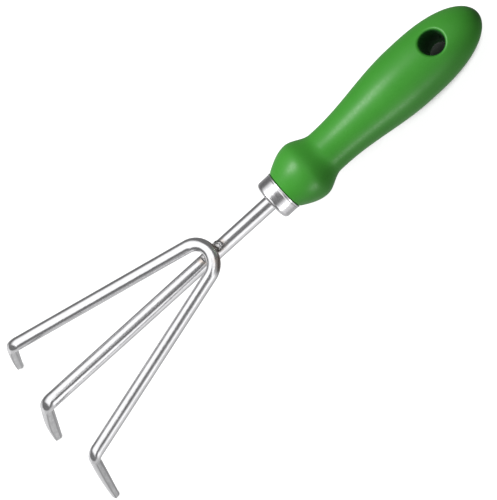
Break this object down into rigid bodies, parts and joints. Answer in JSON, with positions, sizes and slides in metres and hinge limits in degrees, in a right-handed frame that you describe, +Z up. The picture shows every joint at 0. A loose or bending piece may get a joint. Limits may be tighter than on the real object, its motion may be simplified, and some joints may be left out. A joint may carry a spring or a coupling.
{
  "type": "hand cultivator",
  "caption": "Hand cultivator with hooked, forged steel tines welded to a short shaft, a steel ferrule and a moulded green grip with a hanging hole.",
  "frame": {"origin": "on the surface that the tool lies on, under the middle of its bounding box", "axes": "+X from the handle towards the tines, +Z up with the hooked tips down, Y across the fork"},
  "size_m": [0.3278, 0.0966, 0.0559],
  "materials": {
    "handle_plastic": "satin green moulded polypropylene",
    "ferrule_steel": "drawn stainless steel, finely turned and polished",
    "rod_steel": "polished stainless round bar, forged flat and satin below the bends",
    "weld_steel": "fused weld metal, rippled and wire-brushed, with a brown heat tint"
  },
  "bodies": {
    "root": {"handle": "handle_plastic", "ferrule": "ferrule_steel", "centre_rod": "rod_steel", "fork_rod": "rod_steel", "rear_weld": "weld_steel", "front_weld": "weld_steel"}
  },
  "joints": []
}
